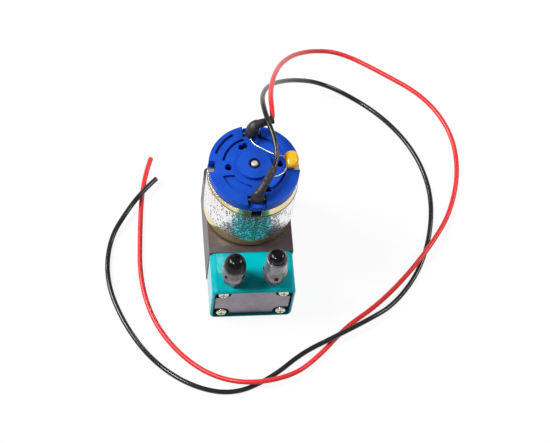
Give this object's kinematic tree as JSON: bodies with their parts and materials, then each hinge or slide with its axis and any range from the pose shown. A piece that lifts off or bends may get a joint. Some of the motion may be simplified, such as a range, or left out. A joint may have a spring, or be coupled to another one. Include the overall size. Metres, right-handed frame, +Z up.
{
  "type": "ink_pump",
  "caption": "Small diaphragm ink pump: upright brushed motor on a crank housing, teal pump head with two capped hose fittings and a steel front plate, two loose wires",
  "frame": {"origin": "Middle of the base: the centre of the pump's footprint without its wires, at the underside of the crank housing", "axes": "+Z up along the motor shaft, -Y towards the front of the pump head with its steel plate, +X to the right seen from the front"},
  "size_m": [0.1355, 0.1418, 0.0589],
  "materials": {
    "housing_plastic": "moulded, mauve-brown, fine satin grain",
    "black_plastic": "moulded black, satin",
    "zinc_steel": "drawn steel, pale yellow zinc passivation",
    "silver_paper": "silvered label paper, left without print",
    "blue_plastic": "moulded blue, semi-gloss",
    "teal_plastic": "moulded teal, gloss",
    "grey_plastic": "moulded dark grey, gloss",
    "plate_steel": "rolled stainless sheet, dull grey",
    "nickel_steel": "nickel-plated steel",
    "ground_steel": "ground steel",
    "core_steel": "stamped silicon steel laminations",
    "black_steel": "black oxide",
    "brass": "stamped brass, slightly dull",
    "sintered_bronze": "oil-filled sintered bronze",
    "copper": "turned copper",
    "copper_enamel": "enamelled copper wire",
    "tinned_copper": "bright tinned wire",
    "carbon": "pressed carbon",
    "ferrite": "sintered ferrite",
    "black_rubber": "moulded rubber, matte",
    "stopper_rubber": "soft black plug, gloss",
    "white_nylon": "natural nylon",
    "amber_resin": "dipped resin, gloss",
    "shrink_tube": "heat-shrink polyolefin, satin",
    "red_insulation": "silicone insulation, semi-gloss",
    "black_insulation": "silicone insulation, semi-gloss"
  },
  "bodies": {
    "pump": {"crank_housing": "housing_plastic", "bottom_cover": "black_plastic", "bottom_cover_screws": "nickel_steel", "motor_can": "zinc_steel", "motor_label": "silver_paper", "end_cap": "blue_plastic", "brush_terminals": "brass", "carbon_brushes": "carbon", "motor_magnets": "ferrite", "front_bearing": "sintered_bronze", "rear_bearing": "sintered_bronze", "motor_screws": "nickel_steel", "diaphragm": "black_rubber", "pump_head": "teal_plastic", "valve_seats": "grey_plastic", "valve_gasket": "black_rubber", "valve_cover": "black_plastic", "front_plate": "plate_steel", "head_screws": "nickel_steel", "left_fitting": "grey_plastic", "right_fitting": "grey_plastic", "left_port_nut": "grey_plastic", "right_port_nut": "grey_plastic", "port_rings": "black_rubber", "capacitor": "amber_resin", "capacitor_leads": "tinned_copper", "front_sleeve": "shrink_tube", "rear_sleeve": "shrink_tube", "red_wire": "red_insulation", "black_wire": "black_insulation"},
    "rotor": {"motor_shaft": "ground_steel", "rotor_core": "core_steel", "rotor_windings": "copper_enamel", "commutator": "copper", "thrust_washers": "white_nylon", "eccentric": "ground_steel", "set_screw": "black_steel", "bearing_inner_ring": "ground_steel"},
    "bearing_cage": {"bearing_balls": "ground_steel"},
    "rod": {"connecting_rod": "white_nylon", "bearing_outer_ring": "ground_steel", "diaphragm_clamp": "ground_steel", "clamp_screw": "nickel_steel"},
    "inlet_disc": {"inlet_valve_disc": "black_rubber"},
    "outlet_disc": {"outlet_valve_disc": "black_rubber"},
    "left_plug": {"left_stopper": "stopper_rubber"},
    "right_plug": {"right_stopper": "stopper_rubber"}
  },
  "joints": [
    {"name": "rotor_spin", "type": "hinge", "parent": "pump", "child": "rotor", "pos_m": [0, 0.0087, 0.03], "axis": [0, 0, 1], "continuous": true},
    {"name": "rod_swing", "type": "hinge", "parent": "rotor", "child": "rod", "pos_m": [0, 0.0079, 0.0105], "axis": [0, 0, 1], "continuous": true, "deforming": ["diaphragm"]},
    {"name": "cage_roll", "type": "hinge", "parent": "rotor", "child": "bearing_cage", "pos_m": [0, 0.0079, 0.0105], "axis": [0, 0, 1], "continuous": true},
    {"name": "inlet_lift", "type": "slide", "parent": "pump", "child": "inlet_disc", "axis": [0, 1, 0], "range_m": [0, 0.0004]},
    {"name": "outlet_lift", "type": "slide", "parent": "pump", "child": "outlet_disc", "axis": [0, -1, 0], "range_m": [0, 0.0004]},
    {"name": "left_plug_pull", "type": "slide", "parent": "pump", "child": "left_plug", "axis": [0, 0, 1], "range_m": [0, 0.012]},
    {"name": "right_plug_pull", "type": "slide", "parent": "pump", "child": "right_plug", "axis": [0, 0, 1], "range_m": [-0.0024, 0.012]}
  ],
  "couplings": [
    {"joint": "rod_swing", "follows": "rotor_spin", "ratio": -1},
    {"joint": "cage_roll", "follows": "rotor_spin", "ratio": -0.58}
  ]
}
